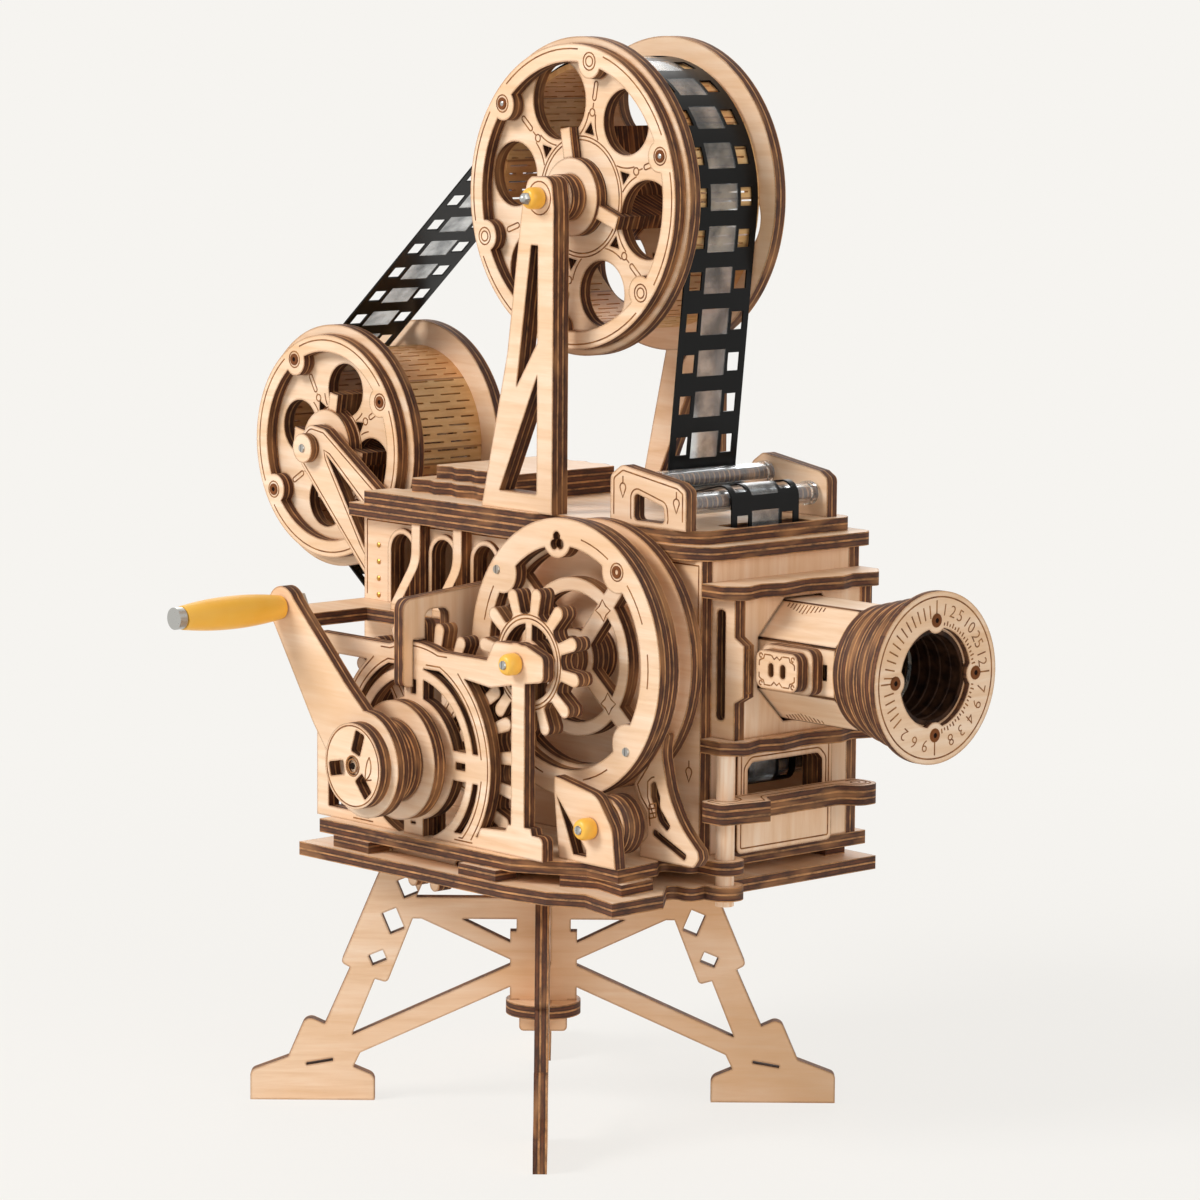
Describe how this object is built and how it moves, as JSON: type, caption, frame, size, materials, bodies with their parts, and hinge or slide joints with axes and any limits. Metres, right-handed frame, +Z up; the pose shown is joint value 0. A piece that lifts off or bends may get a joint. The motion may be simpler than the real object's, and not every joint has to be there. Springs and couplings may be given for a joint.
{
  "type": "hand cranked film projector model kit",
  "caption": "Laser cut plywood kit model of a hand cranked film projector: crank gear, flywheel, two film reels and a sliding lens on a cross-legged stand.",
  "frame": {"origin": "centre of the overall bounding box in plan, at the level of the feet's undersides", "axes": "+X the way the lens points, -Y the side with the crank and gears, +Z up"},
  "size_m": [0.2062, 0.1272, 0.2353],
  "materials": {
    "plywood": "bare birch plywood, laser cut with scorched edges",
    "round_wood": "bare round stick",
    "yellow_plastic": "smooth moulded",
    "steel": "bright",
    "film": "dark strip",
    "clear_plastic": "clear tube",
    "glass": "clear"
  },
  "bodies": {
    "body": {"arch_corbels": "plywood", "base_plate_lower": "plywood", "base_plate_upper": "plywood", "base_spacers": "plywood", "buttress": "plywood", "deck_lower": "plywood", "deck_ornaments": "plywood", "deck_upper": "plywood", "film_gate": "plywood", "film_strip": "film", "front_dowel": "round_wood", "gear_frame": "plywood", "gear_frame_bracket": "plywood", "guide_frame": "plywood", "handrail": "plywood", "housing_front": "plywood", "housing_ledges": "plywood", "housing_sides": "plywood", "idler_bracket": "plywood", "lamp_holder": "plywood", "reel_brackets": "plywood", "reel_uprights": "plywood", "shelf": "plywood", "stand_disc": "plywood", "stand_frame_front_back": "plywood", "stand_frame_left_right": "plywood", "wall_far": "plywood", "wall_front": "plywood", "wall_near": "plywood", "wall_rear": "plywood", "window_frame": "plywood"},
    "crank": {"crank_gear": "plywood", "crank_shaft": "plywood", "crank_disc": "plywood", "crank_arm": "plywood", "grip_bolt": "steel"},
    "grip": {"crank_grip": "yellow_plastic"},
    "flywheel_shaft": {"pinion": "plywood", "main_shaft": "plywood", "flywheel_ring": "plywood", "flywheel_spoked": "plywood", "flywheel_disc": "plywood"},
    "upper_reel": {"upper_reel_flange_near": "plywood", "upper_reel_flange_far": "plywood", "upper_reel_drum": "plywood", "upper_reel_axle": "plywood", "upper_reel_caps": "yellow_plastic"},
    "lower_reel": {"lower_reel_flange_near": "plywood", "lower_reel_flange_far": "plywood", "lower_reel_drum": "plywood", "lower_reel_axle": "plywood"},
    "rear_guide": {"guide_roller_rear": "clear_plastic"},
    "front_guide": {"guide_roller_front": "clear_plastic"},
    "lower_guide": {"guide_roller_lower": "clear_plastic"},
    "lens": {"lens_barrel": "plywood", "lens_rings": "plywood", "lens_dial": "plywood", "lens_glass": "glass", "focus_knob": "plywood"},
    "idler": {"idler_wheel": "plywood"}
  },
  "joints": [
    {"name": "crank_turn", "type": "hinge", "parent": "body", "child": "crank", "pos_m": [-0.0014, 0.0147, 0.08051], "axis": [0, 1, 0], "continuous": true},
    {"name": "grip_spin", "type": "hinge", "parent": "crank", "child": "grip", "pos_m": [-0.02937, -0.0373, 0.11158], "axis": [0, 1, 0], "continuous": true},
    {"name": "shaft_turn", "type": "hinge", "parent": "body", "child": "flywheel_shaft", "pos_m": [0.0319, 0.0147, 0.1048], "axis": [0, 1, 0], "continuous": true},
    {"name": "upper_reel_turn", "type": "hinge", "parent": "body", "child": "upper_reel", "pos_m": [0.0086, 0.03245, 0.2008], "axis": [0, 1, 0], "continuous": true},
    {"name": "lower_reel_turn", "type": "hinge", "parent": "body", "child": "lower_reel", "pos_m": [-0.0751, 0.03245, 0.14], "axis": [0, 1, 0], "continuous": true},
    {"name": "rear_guide_turn", "type": "hinge", "parent": "body", "child": "rear_guide", "pos_m": [0.0356, 0.03245, 0.141], "axis": [0, 1, 0], "continuous": true},
    {"name": "front_guide_turn", "type": "hinge", "parent": "body", "child": "front_guide", "pos_m": [0.0491, 0.03245, 0.1377], "axis": [0, 1, 0], "continuous": true},
    {"name": "lower_guide_turn", "type": "hinge", "parent": "body", "child": "lower_guide", "pos_m": [0.0491, 0.03245, 0.079], "axis": [0, 1, 0], "continuous": true},
    {"name": "focus_slide", "type": "slide", "parent": "body", "child": "lens", "axis": [1, 0, 0], "range_m": [0, 0.0035]},
    {"name": "idler_turn", "type": "hinge", "parent": "body", "child": "idler", "pos_m": [0.0491, -0.0143, 0.0714], "axis": [0, 1, 0], "continuous": true}
  ],
  "couplings": [
    {"joint": "shaft_turn", "follows": "crank_turn", "ratio": -2},
    {"joint": "upper_reel_turn", "follows": "crank_turn", "ratio": 0.5733},
    {"joint": "lower_reel_turn", "follows": "crank_turn", "ratio": 0.7544},
    {"joint": "rear_guide_turn", "follows": "crank_turn", "ratio": -5.375},
    {"joint": "front_guide_turn", "follows": "crank_turn", "ratio": 5.375},
    {"joint": "lower_guide_turn", "follows": "crank_turn", "ratio": 5.375}
  ]
}
